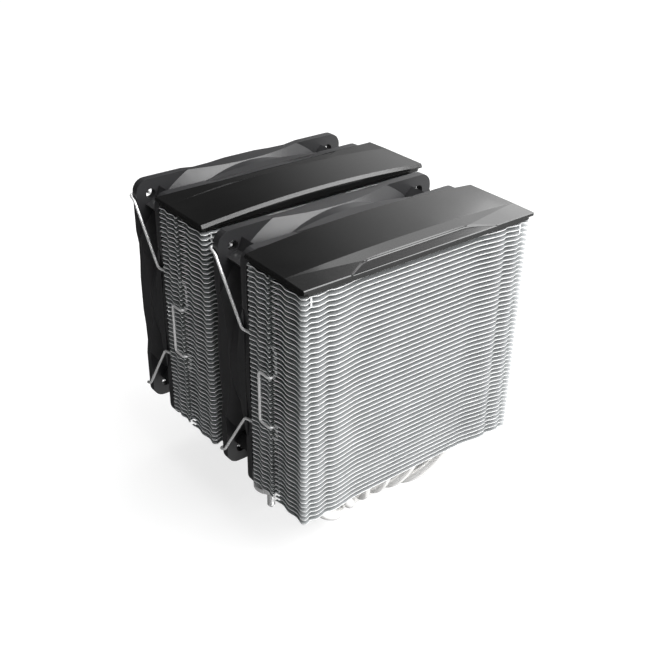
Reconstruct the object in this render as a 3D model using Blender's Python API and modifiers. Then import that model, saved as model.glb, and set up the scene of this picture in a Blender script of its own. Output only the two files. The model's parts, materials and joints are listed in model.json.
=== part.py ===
"""Dual-tower air cooler for a processor, with two 120 mm fans.

World frame: metres, +Z up, +X along the fins, +Y from the front tower to the rear fan.
The origin is the centre of the contact face under the cold plate.
Sizes below are in millimetres; MM turns them into metres where a mesh is made.
"""

import math

import bmesh
import bpy
from mathutils import Matrix, Vector

MM = 0.001
GAP = 0.3                       # clearance between neighbouring pieces
SIDES = {"left": -1, "right": 1}

# Overall sizes
TOTAL_HEIGHT = 155.0
COVER_WIDTH = 125.0
FIN_WIDTH = 124.0
TOWER_DEPTH = 40.0
TOWER_CENTRE_Y = 35.5           # the towers stand at -Y and +Y

# Fins
FIN_COUNT = 49
FIN_THICKNESS = 0.4
FIN_BOTTOM_Z = 41.2
FIN_TOP_Z = 150.4
FIN_PITCH = (FIN_TOP_Z - FIN_BOTTOM_Z - FIN_THICKNESS) / (FIN_COUNT - 1)
GROOVE_OFFSET = 2.5             # the clip groove lies this far behind the middle of a tower
GROOVE_WIDTH = 3.6
GROOVE_DEPTH = 3.4
DUCT_WALL = 0.6
DUCT_FLOOR = 0.7

# Covers
COVER_THICKNESS = 2.1
TRAY_THICKNESS = 1.1
TRAY_INSET = 0.8
COVER_CORNER = 2.0

# Base
PLATE_HALF_X = 22.5
PLATE_HALF_Y = 19.0
PLATE_TOP_Z = 7.8
CLAMP_HALF_X = 24.0
CLAMP_HALF_Y = 18.0
CLAMP_BOTTOM_Z = 8.1
CLAMP_TOP_Z = 18.0
BAR_THICKNESS = 2.5
BAR_HALF_LENGTH = 49.5
BAR_HALF_WIDTH = 8.0
SCREW_SPAN_X = 41.0             # mounting screws from the centre line
BAR_BOLT_X = 12.0

# Heat pipes
PIPE_RADIUS = 3.0
PIPE_Z = 9.0
PIPE_PITCH_BASE = 7.4
PIPE_PITCH_TOWER = 16.0
PIPE_COUNT = 6
PIPE_LEG_Y = 30.5               # inner pipes; the outer ones stand further out
PIPE_LEG_BOW = 5.5
PIPE_STRAIGHT_Z = 30.0          # a leg is upright from here up
PIPE_TOP_Z = 150.9

# Fans
FAN_SIZE = 120.0
FAN_DEPTH = 25.0
FAN_CENTRE_Z = 94.0
PAD_SPACE = 2.0
FLANGE = 4.0
BORE_RADIUS = 58.0
BARREL_RADIUS = 60.4
FAN_HOLE_SPACING = 105.0
FAN_HOLE_RADIUS = 2.5
FAN_CORNER = 6.0
HUB_RADIUS = 20.0
BLADE_TIP_RADIUS = 56.3
BLADE_COUNT = 9
FAN_SEGMENTS = 28
HUB_SEGMENTS = 18
FAN_NEAR_Y = {"middle": -TOWER_CENTRE_Y + TOWER_DEPTH / 2 + PAD_SPACE,
              "rear": TOWER_CENTRE_Y + TOWER_DEPTH / 2 + PAD_SPACE}

# Fan clips
WIRE_RADIUS = 0.65

COLOURS = {
    "nickel": ((0.72, 0.71, 0.69, 1.0), 0.22, 1.0),
    "aluminium": ((0.80, 0.82, 0.84, 1.0), 0.30, 1.0),
    "cover_black": ((0.02, 0.02, 0.022, 1.0), 0.25, 0.0),
    "fan_black": ((0.03, 0.03, 0.032, 1.0), 0.50, 0.0),
    "steel": ((0.62, 0.62, 0.60, 1.0), 0.25, 1.0),
    "rubber": ((0.03, 0.03, 0.03, 1.0), 0.85, 0.0),
    "copper": ((0.72, 0.36, 0.20, 1.0), 0.35, 1.0),
    "bronze": ((0.60, 0.42, 0.22, 1.0), 0.40, 1.0),
    "magnet": ((0.10, 0.09, 0.09, 1.0), 0.60, 0.0),
    "circuit": ((0.03, 0.16, 0.08, 1.0), 0.50, 0.0),
}


# ---------------------------------------------------------------- scene and object helpers

def clear_scene():
    """Remove every object of the scene."""
    for old in list(bpy.data.objects):
        bpy.data.objects.remove(old, do_unlink=True)


def new_collection(name):
    """Return a new collection linked to the scene."""
    made = bpy.data.collections.new(name)
    bpy.context.scene.collection.children.link(made)
    return made


def material(slot):
    """Return the material of a slot, made on first use."""
    found = bpy.data.materials.get(slot)
    if found:
        return found
    colour, roughness, metallic = COLOURS[slot]
    made = bpy.data.materials.new(slot)
    made.use_nodes = True
    shader = made.node_tree.nodes["Principled BSDF"]
    shader.inputs["Base Color"].default_value = colour
    shader.inputs["Roughness"].default_value = roughness
    shader.inputs["Metallic"].default_value = metallic
    return made


def add_object(name, mesh, slot=None):
    """Link a mesh as a part, or as a cutter when it has no material slot."""
    made = bpy.data.objects.new(name, mesh)
    if slot is None:
        CUTTERS.objects.link(made)
        made.hide_render = True
        made.display_type = "WIRE"
    else:
        PARTS.objects.link(made)
        mesh.materials.clear()
        mesh.materials.append(material(slot))
    return made


def mesh_from_bmesh(name, shape):
    """Write a bmesh, drawn in millimetres, to a mesh in metres."""
    bmesh.ops.scale(shape, vec=(MM, MM, MM), verts=shape.verts)
    mesh = bpy.data.meshes.new(name)
    shape.to_mesh(mesh)
    shape.free()
    return mesh


def smooth(part, angle=35.0):
    """Shade a part smooth, keeping edges sharper than the angle."""
    part.data.shade_smooth()
    part.data.set_sharp_from_angle(angle=math.radians(angle))


def place(part, spot):
    """Move a part's origin to a spot given in millimetres, leaving its shape where it is."""
    offset = Vector(spot) * MM
    part.data.transform(Matrix.Translation(-offset))
    part.location = offset


def box(name, low, high, slot=None):
    """Make a box from its lowest and highest corners."""
    shape = bmesh.new()
    bmesh.ops.create_cube(shape, size=1.0)
    size = [b - a for a, b in zip(low, high)]
    middle = [(a + b) / 2 for a, b in zip(low, high)]
    bmesh.ops.scale(shape, vec=size, verts=shape.verts)
    bmesh.ops.translate(shape, vec=middle, verts=shape.verts)
    return add_object(name, mesh_from_bmesh(name, shape), slot)


def rod(name, radius, start, end, slot=None, segments=16):
    """Make a straight cylinder between two points."""
    start, end = Vector(start), Vector(end)
    shape = bmesh.new()
    bmesh.ops.create_cone(shape, cap_ends=True, segments=segments, radius1=radius, radius2=radius,
                          depth=(end - start).length)
    turn = Vector((0, 0, 1)).rotation_difference(end - start).to_matrix().to_4x4()
    bmesh.ops.transform(shape, matrix=Matrix.Translation((start + end) / 2) @ turn, verts=shape.verts)
    return add_object(name, mesh_from_bmesh(name, shape), slot)


def curve_mesh(name, loops, dimensions, dress):
    """Make poly splines into one closed mesh, in metres."""
    curve = bpy.data.curves.new(name, "CURVE")
    curve.dimensions = dimensions
    for points, cyclic in loops:
        spline = curve.splines.new("POLY")
        spline.points.add(len(points) - 1)
        for target, point in zip(spline.points, points):
            target.co = (*Vector(point).to_3d(), 1.0)
        spline.use_cyclic_u = cyclic
    dress(curve)
    holder = bpy.data.objects.new(name + "_curve", curve)
    CUTTERS.objects.link(holder)
    ready = holder.evaluated_get(bpy.context.evaluated_depsgraph_get())
    mesh = bpy.data.meshes.new_from_object(ready)
    bpy.data.objects.remove(holder, do_unlink=True)
    bpy.data.curves.remove(curve)
    shape = bmesh.new()
    shape.from_mesh(mesh)
    bpy.data.meshes.remove(mesh)
    bmesh.ops.remove_doubles(shape, verts=shape.verts, dist=0.005)
    bmesh.ops.recalc_face_normals(shape, faces=shape.faces)
    return mesh_from_bmesh(name, shape)


def plate(name, loops, low_z, high_z, slot=None):
    """Extrude flat outlines (the first one outside, the rest holes) between two heights."""
    def dress(curve):
        curve.fill_mode = "BOTH"
        curve.extrude = (high_z - low_z) / 2
    mesh = curve_mesh(name, [(loop, True) for loop in loops], "2D", dress)
    mesh.transform(Matrix.Translation((0, 0, (low_z + high_z) / 2 * MM)))
    return add_object(name, mesh, slot)


def wire(name, points, radius, slot, resolution=1):
    """Run a round wire through points."""
    def dress(curve):
        curve.bevel_depth = radius
        curve.bevel_resolution = resolution
        curve.use_fill_caps = True
    made = add_object(name, curve_mesh(name, [(points, False)], "3D", dress), slot)
    smooth(made, 50.0)
    return made


def turned(name, profile, slot=None, steps=32):
    """Turn a closed profile of (radius, height) points about Z; its outer side runs downwards."""
    shape = bmesh.new()
    corners = [shape.verts.new((radius, 0, height)) for radius, height in profile]
    for first, second in zip(corners, corners[1:] + corners[:1]):
        if first.co.x or second.co.x:
            shape.edges.new((first, second))
    made = add_object(name, mesh_from_bmesh(name, shape), slot)
    screw = made.modifiers.new("turn", "SCREW")
    screw.steps = steps
    screw.render_steps = steps
    screw.use_merge_vertices = True
    screw.merge_threshold = 0.00001
    return made


def cut(part, *cutters, operation="DIFFERENCE"):
    """Add one Boolean for each cutter."""
    for cutter in cutters:
        change = part.modifiers.new(cutter.name, "BOOLEAN")
        change.operation = operation
        change.object = cutter
        if cutter.name in PARTS.objects:
            PARTS.objects.unlink(cutter)
            CUTTERS.objects.link(cutter)
        cutter.hide_render = True
        cutter.display_type = "WIRE"


def freeze(part):
    """Replace a part's mesh by the result of its modifiers."""
    ready = part.evaluated_get(bpy.context.evaluated_depsgraph_get())
    mesh = bpy.data.meshes.new_from_object(ready)
    part.modifiers.clear()
    part.data = mesh


# ---------------------------------------------------------------- outlines

def circle(radius, centre=(0, 0), count=16):
    """Points of a circle."""
    return [(centre[0] + radius * math.cos(2 * math.pi * i / count),
             centre[1] + radius * math.sin(2 * math.pi * i / count)) for i in range(count)]


def rounded_rectangle(half_x, half_y, radius, centre=(0, 0), steps=2):
    """Points of a rectangle with round corners, anticlockwise."""
    points = []
    for corner, (sx, sy) in enumerate(((1, 1), (-1, 1), (-1, -1), (1, -1))):
        for i in range(steps + 1):
            angle = math.pi / 2 * (corner + i / steps)
            points.append((centre[0] + sx * (half_x - radius) + radius * math.cos(angle),
                           centre[1] + sy * (half_y - radius) + radius * math.sin(angle)))
    return points


def stand_up(part, near_y, centre_z=FAN_CENTRE_Z):
    """Turn a fan piece drawn on XY, with its depth along Z, to stand with its depth along +Y."""
    part.data.transform(Matrix.Translation((0, near_y * MM, centre_z * MM))
                        @ Matrix.Rotation(math.radians(90), 4, "X") @ Matrix.Diagonal((1, 1, -1, 1)))
    part.data.flip_normals()


# ---------------------------------------------------------------- towers

def pipe_columns():
    """Return (base x, leg x, leg y) for each heat pipe, from left to right."""
    columns = []
    for i in range(PIPE_COUNT):
        step = i - (PIPE_COUNT - 1) / 2
        reach = abs(step) / ((PIPE_COUNT - 1) / 2)
        columns.append((step * PIPE_PITCH_BASE, step * PIPE_PITCH_TOWER,
                        PIPE_LEG_Y + PIPE_LEG_BOW * reach ** 2))
    return columns


def groove_box(name, centre_y, sign):
    """The groove for the clips down one side of a fin stack."""
    groove = centre_y + GROOVE_OFFSET
    inner, outer = sorted((sign * (FIN_WIDTH / 2 - GROOVE_DEPTH), sign * (FIN_WIDTH / 2 + 5)))
    return box(name, (inner, groove - GROOVE_WIDTH / 2, FIN_BOTTOM_Z - 5),
               (outer, groove + GROOVE_WIDTH / 2, FIN_TOP_Z + 5))


def make_fin_stack(name, centre_y, facing):
    """Stack the fins, join them by a duct round the pipes, and open the duct's ends for the pipes."""
    half_x, half_y = FIN_WIDTH / 2, TOWER_DEPTH / 2
    stack = box(name, (-half_x, centre_y - half_y, FIN_BOTTOM_Z),
                (half_x, centre_y + half_y, FIN_BOTTOM_Z + FIN_THICKNESS), "aluminium")
    array = stack.modifiers.new("fins", "ARRAY")
    array.count = FIN_COUNT
    array.use_relative_offset = False
    array.use_constant_offset = True
    array.constant_offset_displace = (0, 0, FIN_PITCH * MM)
    legs = [(x, facing * y) for _, x, y in pipe_columns()]
    clear = PIPE_RADIUS + 0.6
    low = (min(x for x, _ in legs) - clear, min(y for _, y in legs) - clear)
    high = (max(x for x, _ in legs) + clear, max(y for _, y in legs) + clear)
    half = FIN_THICKNESS / 2
    block = box(name + "_block", (low[0] - DUCT_WALL, low[1] - DUCT_WALL, FIN_BOTTOM_Z + half),
                (high[0] + DUCT_WALL, high[1] + DUCT_WALL, FIN_TOP_Z - half))
    duct = box(name + "_duct", (*low, FIN_BOTTOM_Z + DUCT_FLOOR), (*high, FIN_TOP_Z - DUCT_FLOOR))
    cut(stack, block, operation="UNION")
    cut(stack, duct)
    for side, sign in SIDES.items():
        cut(stack, groove_box(f"{name}_groove_{side}", centre_y, sign))
    for i, (x, y) in enumerate(legs):
        cut(stack, rod(f"{name}_hole_{i}", PIPE_RADIUS + GAP + 0.1, (x, y, FIN_BOTTOM_Z - 5),
                       (x, y, FIN_TOP_Z + 5), segments=8))
    freeze(stack)


def make_cover(name, centre_y, facing):
    """Make a top cover: a plate with round corners and a sloped inner edge."""
    top = TOTAL_HEIGHT
    bottom = top - COVER_THICKNESS
    middle = facing * (abs(centre_y) + 0.5)
    outline = rounded_rectangle(COVER_WIDTH / 2, TOWER_DEPTH / 2, COVER_CORNER, (0, middle))
    cover = plate(name, [outline], bottom, top, "cover_black")
    inner = middle - facing * TOWER_DEPTH / 2
    slope = rod(name + "_slope", 3.0, (-COVER_WIDTH, inner - facing * 1.0, top + 1.6),
                (COVER_WIDTH, inner - facing * 1.0, top + 1.6), segments=4)
    cut(cover, slope)
    freeze(cover)


def make_tray(name, centre_y, facing):
    """Make the thin tray that carries a cover on the top fin."""
    top = TOTAL_HEIGHT - COVER_THICKNESS - GAP
    middle = facing * (abs(centre_y) + 0.5)
    outline = rounded_rectangle(COVER_WIDTH / 2 - TRAY_INSET, TOWER_DEPTH / 2 - TRAY_INSET,
                                COVER_CORNER, (0, middle))
    plate(name, [outline], top - TRAY_THICKNESS, top, "cover_black")


def bezier(p0, p1, p2, p3, count):
    """Points along a cubic curve, both ends left out."""
    points = []
    for i in range(1, count):
        t = i / count
        s = 1 - t
        points.append(p0 * s ** 3 + p1 * (3 * s * s * t) + p2 * (3 * s * t * t) + p3 * t ** 3)
    return points


def make_heat_pipe(number, base_x, leg_x, leg_y):
    """Bend one U-shaped heat pipe from the front tower through the base to the rear tower."""
    foot = Vector((base_x, PLATE_HALF_Y + 1.0, PIPE_Z))
    knee = Vector((leg_x, leg_y, PIPE_STRAIGHT_Z))
    reach = leg_y - foot.y
    bend = bezier(foot, foot + Vector((0, reach * 0.9, 0)), knee - Vector((0, 0, 9.0)), knee, 8)
    half = [foot, *bend, knee, Vector((leg_x, leg_y, PIPE_TOP_Z))]
    points = [Vector((p.x, -p.y, p.z)) for p in reversed(half)] + half
    wire(f"heat_pipe_{number}", points, PIPE_RADIUS, "nickel", resolution=2)


# ---------------------------------------------------------------- base and mounting

def groove_cutters(name):
    """Round grooves for the pipes through the base."""
    return [rod(f"{name}_groove_{i}", PIPE_RADIUS + GAP, (x, -40, PIPE_Z), (x, 40, PIPE_Z), segments=12)
            for i, (x, _, _) in enumerate(pipe_columns())]


def make_base():
    """Make the cold plate and the clamp block that holds the pipes on it."""
    cold_plate = box("cold_plate", (-PLATE_HALF_X, -PLATE_HALF_Y, 0),
                     (PLATE_HALF_X, PLATE_HALF_Y, PLATE_TOP_Z), "nickel")
    cut(cold_plate, *groove_cutters("cold_plate"))
    freeze(cold_plate)
    clamp = box("pipe_clamp", (-CLAMP_HALF_X, -CLAMP_HALF_Y, CLAMP_BOTTOM_Z),
                (CLAMP_HALF_X, CLAMP_HALF_Y, CLAMP_TOP_Z), "aluminium")
    cut(clamp, box("clamp_recess", (-PLATE_HALF_X + 0.5, -30, 0), (PLATE_HALF_X - 0.5, 30, PIPE_Z + 1.2)))
    cut(clamp, *groove_cutters("pipe_clamp"))
    for side, sign in SIDES.items():
        x = sign * BAR_BOLT_X
        cut(clamp, rod(f"clamp_bolt_hole_{side}", 1.9, (x, 0, CLAMP_TOP_Z - 5), (x, 0, CLAMP_TOP_Z + 5),
                       segments=8))
    freeze(clamp)


def make_mounting_bar():
    """Make the bar across the base, with holes for its bolts and for the two mounting screws."""
    low = CLAMP_TOP_Z + GAP
    outline = rounded_rectangle(BAR_HALF_LENGTH, BAR_HALF_WIDTH, BAR_HALF_WIDTH - 0.5, steps=4)
    holes = [circle(2.6, (sign * SCREW_SPAN_X, 0), 10) for sign in SIDES.values()]
    holes += [circle(1.9, (sign * BAR_BOLT_X, 0), 8) for sign in SIDES.values()]
    plate("mounting_bar", [outline, *holes], low, low + BAR_THICKNESS, "steel")


def make_bar_bolt(side, sign):
    """Make one countersunk bolt that holds the bar on the clamp block."""
    seat = CLAMP_TOP_Z + GAP + BAR_THICKNESS + GAP
    profile = [(0, seat + 1.6), (2.6, seat + 1.6), (3.0, seat + 1.2), (3.0, seat), (1.5, seat),
               (1.5, CLAMP_TOP_Z - 4), (0, CLAMP_TOP_Z - 4)]
    bolt = turned(f"bar_bolt_{side}", profile, "steel", 12)
    cut(bolt, box(f"bar_bolt_slot_{side}", (-2.2, -0.4, seat + 0.8), (2.2, 0.4, seat + 3)))
    freeze(bolt)
    bolt.data.transform(Matrix.Translation((sign * BAR_BOLT_X * MM, 0, 0)))


def make_mounting_screw(side, sign):
    """Make one sprung mounting screw, its retaining ring and its spring."""
    bar_low = CLAMP_TOP_Z + GAP
    bar_top = bar_low + BAR_THICKNESS
    head_low, head_top = bar_top + 7.2, bar_top + 10.7
    ring_top = bar_low - GAP
    ring_low = ring_top - 1.0
    tip = 5.0
    x = sign * SCREW_SPAN_X
    profile = [(0, head_top), (4.6, head_top), (5.4, head_top - 0.8), (5.4, head_low), (2.0, head_low),
               (2.0, ring_top + GAP), (1.4, ring_top + GAP), (1.4, ring_low - GAP), (2.0, ring_low - GAP),
               (2.0, tip + 1), (1.4, tip), (0, tip)]
    screw = turned(f"mounting_screw_{side}", profile, "steel", 12)
    cut(screw, box(f"screw_slot_{side}", (-3.6, -0.6, head_top - 1.8), (3.6, 0.6, head_top + 3)),
        box(f"screw_cross_{side}", (-0.6, -3.6, head_top - 1.8), (0.6, 3.6, head_top + 3)))
    freeze(screw)
    screw.location = (x * MM, 0, 0)
    outer, inner, open_angle = 4.2, 1.75, math.radians(50)
    sweep = [open_angle + (2 * math.pi - 2 * open_angle) * i / 12 for i in range(13)]
    ring = [(outer * math.cos(a), outer * math.sin(a)) for a in sweep]
    ring += [(inner * math.cos(a), inner * math.sin(a)) for a in reversed(sweep)]
    retainer = plate(f"screw_ring_{side}", [ring], ring_low, ring_top, "steel")
    retainer.location = (x * MM, 0, 0)
    wire_radius, coil_radius, turns, per_turn = 0.5, 3.5, 4.5, 8
    low = bar_top + GAP + wire_radius
    high = head_low - GAP - wire_radius
    coil = []
    for i in range(int(turns * per_turn) + 1):
        angle = 2 * math.pi * i / per_turn
        height = low + (high - low) * i / (turns * per_turn)
        coil.append((coil_radius * math.cos(angle), coil_radius * math.sin(angle), height))
    spring = wire(f"screw_spring_{side}", coil, wire_radius, "steel", resolution=0)
    spring.location = (x * MM, 0, 0)


# ---------------------------------------------------------------- fans

def make_fan_frame(place_name, near_y):
    """Make a fan frame: two square flanges on a round barrel, four struts and the motor mount."""
    name = f"fan_frame_{place_name}"
    half = FAN_SIZE / 2
    square = rounded_rectangle(half, half, FAN_CORNER)
    holes = [circle(FAN_HOLE_RADIUS, (sx * FAN_HOLE_SPACING / 2, sy * FAN_HOLE_SPACING / 2), 8)
             for sx in (-1, 1) for sy in (-1, 1)]
    frame = plate(name, [square, circle(BORE_RADIUS, count=FAN_SEGMENTS), *holes], 0, FAN_DEPTH, "fan_black")
    waist = plate(name + "_waist", [rounded_rectangle(half + 5, half + 5, 1.0),
                                    circle(BARREL_RADIUS, count=FAN_SEGMENTS)], FLANGE, FAN_DEPTH - FLANGE)
    cut(frame, waist)
    mount = turned(name + "_mount", [(4.0, 16.0), (5.2, 16.0), (5.2, 2.4), (HUB_RADIUS, 2.4),
                                     (HUB_RADIUS, 0.2), (4.0, 0.2)], None, HUB_SEGMENTS)
    freeze(mount)
    cut(frame, mount, operation="UNION")
    for i in range(4):
        strut = box(f"{name}_strut_{i}", (HUB_RADIUS - 1.5, -1.6, 0.5), (BORE_RADIUS + 1.0, 1.6, 3.6))
        strut.data.transform(Matrix.Rotation(math.radians(90 * i + 24), 4, "Z"))
        cut(frame, strut, operation="UNION")
    freeze(frame)
    stand_up(frame, near_y)


def blade_mesh(name):
    """Make one fan blade, a thin twisted sheet with thickness, drawn on XY with its depth along Z."""
    spans, chords, thickness = 3, 2, 1.6
    shape = bmesh.new()
    layers = []
    for side in (-0.5, 0.5):
        grid = []
        for i in range(spans + 1):
            radius = HUB_RADIUS - 0.8 + (BLADE_TIP_RADIUS - HUB_RADIUS + 0.8) * i / spans
            share = i / spans
            pitch = math.radians(52 - 22 * share)
            chord = 15.0 + 15.0 * share
            row = []
            for j in range(chords + 1):
                along = (j / chords - 0.5) * chord
                camber = 2.2 * (1 - (2 * j / chords - 1) ** 2)
                sideways = along * math.cos(pitch) + camber * math.sin(pitch)
                height = 12.8 - along * math.sin(pitch) + camber * math.cos(pitch) + side * thickness
                angle = (sideways + 5.0 * math.sin(math.pi * share)) / radius
                row.append(shape.verts.new((radius * math.cos(angle), radius * math.sin(angle), height)))
            grid.append(row)
        layers.append(grid)
    close_blade(shape, layers, spans, chords)
    bmesh.ops.recalc_face_normals(shape, faces=shape.faces)
    return mesh_from_bmesh(name, shape)


def close_blade(shape, layers, spans, chords):
    """Skin the two sides of a blade and join them round the edge."""
    low, high = layers
    for i in range(spans):
        for j in range(chords):
            shape.faces.new((low[i][j], low[i][j + 1], low[i + 1][j + 1], low[i + 1][j]))
            shape.faces.new((high[i][j], high[i + 1][j], high[i + 1][j + 1], high[i][j + 1]))
    for i in range(spans):
        shape.faces.new((low[i][0], low[i + 1][0], high[i + 1][0], high[i][0]))
        shape.faces.new((low[i][chords], high[i][chords], high[i + 1][chords], low[i + 1][chords]))
    for j in range(chords):
        shape.faces.new((low[0][j], high[0][j], high[0][j + 1], low[0][j + 1]))
        shape.faces.new((low[spans][j], low[spans][j + 1], high[spans][j + 1], high[spans][j]))


def make_impeller(place_name, near_y):
    """Make an impeller: a cup-shaped hub, open towards the motor, with its blades."""
    name = f"impeller_{place_name}"
    top, rim, wall = 23.6, 4.2, 1.2
    inside = HUB_RADIUS - wall
    profile = [(0, top), (HUB_RADIUS - 1.5, top), (HUB_RADIUS, top - 1.5), (HUB_RADIUS, rim),
               (inside, rim), (inside, top - 1.8), (5.0, top - 1.8), (5.0, top - 3.5), (1.9, top - 3.5),
               (1.9, top - 1.2), (0, top - 1.2)]
    hub = turned(name, profile, "fan_black", HUB_SEGMENTS)
    freeze(hub)
    for i in range(BLADE_COUNT):
        blade = add_object(f"{name}_blade_{i}", blade_mesh(f"{name}_blade_{i}"))
        blade.data.transform(Matrix.Rotation(2 * math.pi * i / BLADE_COUNT, 4, "Z"))
        cut(hub, blade, operation="UNION")
    freeze(hub)
    stand_up(hub, near_y)
    place(hub, (0, near_y, FAN_CENTRE_Z))


def make_motor(place_name, near_y):
    """Make the pieces inside the hub: shaft, bearing, stator, magnet ring and circuit board."""
    turning = [
        turned(f"fan_shaft_{place_name}", [(0, 21.9), (1.5, 21.9), (1.5, 4.0), (0, 4.0)], "steel", 12),
        turned(f"rotor_magnet_{place_name}", [(15.8, 19.5), (18.4, 19.5), (18.4, 6.5), (15.8, 6.5)],
               "magnet", HUB_SEGMENTS),
    ]
    still = [
        turned(f"fan_bearing_{place_name}", [(1.9, 15.6), (3.6, 15.6), (3.6, 3.2), (1.9, 3.2)],
               "bronze", 12),
        turned(f"fan_stator_{place_name}", [(5.7, 17.0), (15.2, 17.0), (15.2, 8.0), (5.7, 8.0)],
               "copper", HUB_SEGMENTS),
        turned(f"fan_circuit_{place_name}", [(5.7, 4.4), (17.2, 4.4), (17.2, 3.2), (5.7, 3.2)],
               "circuit", HUB_SEGMENTS),
    ]
    slots = []
    for i in range(4):
        slot = box(f"stator_slot_{place_name}_{i}", (8.0, -1.2, 5), (20, 1.2, 20))
        slot.data.transform(Matrix.Rotation(math.radians(90 * i + 45), 4, "Z"))
        slots.append(slot)
    cut(still[1], *slots)
    for piece in turning + still:
        freeze(piece)
        stand_up(piece, near_y)
    for piece in turning:
        place(piece, (0, near_y, FAN_CENTRE_Z))


def make_pads(place_name, near_y):
    """Make the rubber pads between a fan's corners and the fins."""
    half = FAN_SIZE / 2
    for row, z_sign in (("low", -1), ("high", 1)):
        for side, sign in SIDES.items():
            centre = (sign * (half - 17.0), FAN_CENTRE_Z + z_sign * (half - 14.0))
            pad = plate(f"pad_{place_name}_{row}_{side}",
                        [rounded_rectangle(5.0, 5.0, 2.0, centre, 1)], GAP, PAD_SPACE - GAP, "rubber")
            pad.data.transform(Matrix.Translation((0, near_y * MM, 0))
                               @ Matrix.Rotation(math.radians(90), 4, "X"))


def clip_points(near_y, sign):
    """Points of a wire fan clip: hook, brace, arm between two fins, groove, and the pull handle."""
    far_y = near_y + FAN_DEPTH
    hook_x = sign * FAN_HOLE_SPACING / 2
    side_x = sign * (FAN_SIZE / 2 + GAP + WIRE_RADIUS + 0.05)
    groove_x = sign * (FIN_WIDTH / 2 - 1.5)
    handle_x = sign * (FIN_WIDTH / 2 + GAP + WIRE_RADIUS + 0.05)
    groove_y = near_y - PAD_SPACE - TOWER_DEPTH / 2 + GROOVE_OFFSET
    handle_y = groove_y + 7.5
    outside_y = far_y + GAP + WIRE_RADIUS + 0.05
    upper_arm = FIN_BOTTOM_Z + FIN_THICKNESS + 33 * FIN_PITCH + (FIN_PITCH - FIN_THICKNESS) / 2
    lower_arm = upper_arm - 20 * FIN_PITCH
    upper_grip = upper_arm - 5.5 * FIN_PITCH
    lower_grip = lower_arm + 3.5 * FIN_PITCH
    half = FAN_HOLE_SPACING / 2
    upper = [(hook_x, far_y - 2.6, FAN_CENTRE_Z + half), (hook_x, outside_y, FAN_CENTRE_Z + half),
             (side_x, outside_y, FAN_CENTRE_Z + half), (side_x, far_y - 3.0, FAN_CENTRE_Z + half - 1.5),
             (side_x, near_y + 3.0, upper_arm), (groove_x, near_y - 4.5, upper_arm),
             (groove_x, groove_y, upper_arm), (groove_x, groove_y, upper_grip),
             (handle_x, groove_y, upper_grip), (handle_x, handle_y, upper_grip)]
    lower = [(hook_x, far_y - 2.6, FAN_CENTRE_Z - half), (hook_x, outside_y, FAN_CENTRE_Z - half),
             (side_x, outside_y, FAN_CENTRE_Z - half), (side_x, far_y - 3.0, FAN_CENTRE_Z - half + 1.5),
             (side_x, near_y + 3.0, lower_arm), (groove_x, near_y - 4.5, lower_arm),
             (groove_x, groove_y, lower_arm), (groove_x, groove_y, lower_grip),
             (handle_x, groove_y, lower_grip), (handle_x, handle_y, lower_grip)]
    return upper + lower[::-1]


def make_clip(place_name, near_y, side, sign):
    """Bend one fan clip and put its origin on the line through its two hooks."""
    clip = wire(f"fan_clip_{place_name}_{side}", clip_points(near_y, sign), WIRE_RADIUS, "steel",
                resolution=1)
    place(clip, (sign * FAN_HOLE_SPACING / 2, near_y + FAN_DEPTH, FAN_CENTRE_Z))


# ---------------------------------------------------------------- the whole cooler

def build():
    """Build every piece of the cooler."""
    make_base()
    make_mounting_bar()
    for side, sign in SIDES.items():
        make_bar_bolt(side, sign)
        make_mounting_screw(side, sign)
    for number, (base_x, leg_x, leg_y) in enumerate(pipe_columns(), 1):
        make_heat_pipe(number, base_x, leg_x, leg_y)
    for tower, facing in (("front", -1), ("rear", 1)):
        centre_y = facing * TOWER_CENTRE_Y
        make_fin_stack(f"fin_stack_{tower}", centre_y, facing)
        make_cover(f"cover_{tower}", centre_y, facing)
        make_tray(f"cover_tray_{tower}", centre_y, facing)
    for place_name, near_y in FAN_NEAR_Y.items():
        make_fan_frame(place_name, near_y)
        make_impeller(place_name, near_y)
        make_motor(place_name, near_y)
        make_pads(place_name, near_y)
        for side, sign in SIDES.items():
            make_clip(place_name, near_y, side, sign)


clear_scene()
PARTS = new_collection("cpu_tower_cooler")
CUTTERS = new_collection("cutters")
build()
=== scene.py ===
"""Looks of a twin-tower air cooler for a processor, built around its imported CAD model.

Units are metres. +X runs along the fins, +Y from the front tower to the rear fan, +Z up.
"""

from __future__ import annotations

import json
import logging
import math
from dataclasses import dataclass
from enum import Enum
from typing import Callable, Iterable, Sequence

import bmesh
import bpy
from mathutils import Matrix, Vector

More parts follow.
